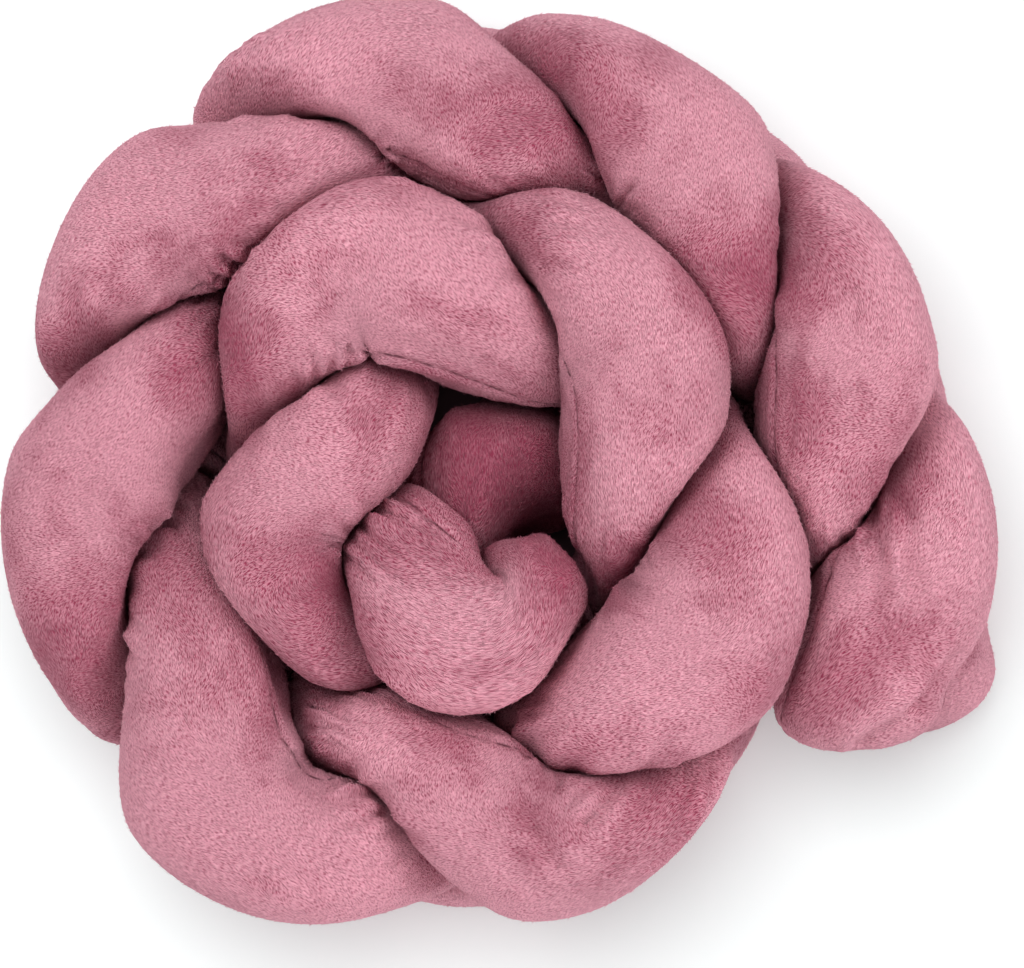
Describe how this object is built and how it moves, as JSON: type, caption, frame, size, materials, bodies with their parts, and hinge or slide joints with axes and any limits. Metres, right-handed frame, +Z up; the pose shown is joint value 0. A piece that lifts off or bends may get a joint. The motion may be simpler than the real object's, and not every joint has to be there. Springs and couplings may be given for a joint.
{
  "type": "coiled braided crib bumper",
  "caption": "Braided crib bumper: stuffed plush tubes in a flat plait that stands on its edge and is coiled like a rose, to lie on a floor or go round the inside of a crib.",
  "frame": {"origin": "on the floor, under the middle of the coil's box", "axes": "+Z up from the floor to the top edge of the plait, +X towards the plait's outer end, along the coil's longest width"},
  "size_m": [0.5472, 0.5, 0.2103],
  "materials": {
    "rose_plush": "short brushed plush pile, matt with a soft sheen"
  },
  "bodies": {
    "root": {"tube_a": "rose_plush", "tube_b": "rose_plush", "tube_c": "rose_plush"}
  },
  "joints": []
}
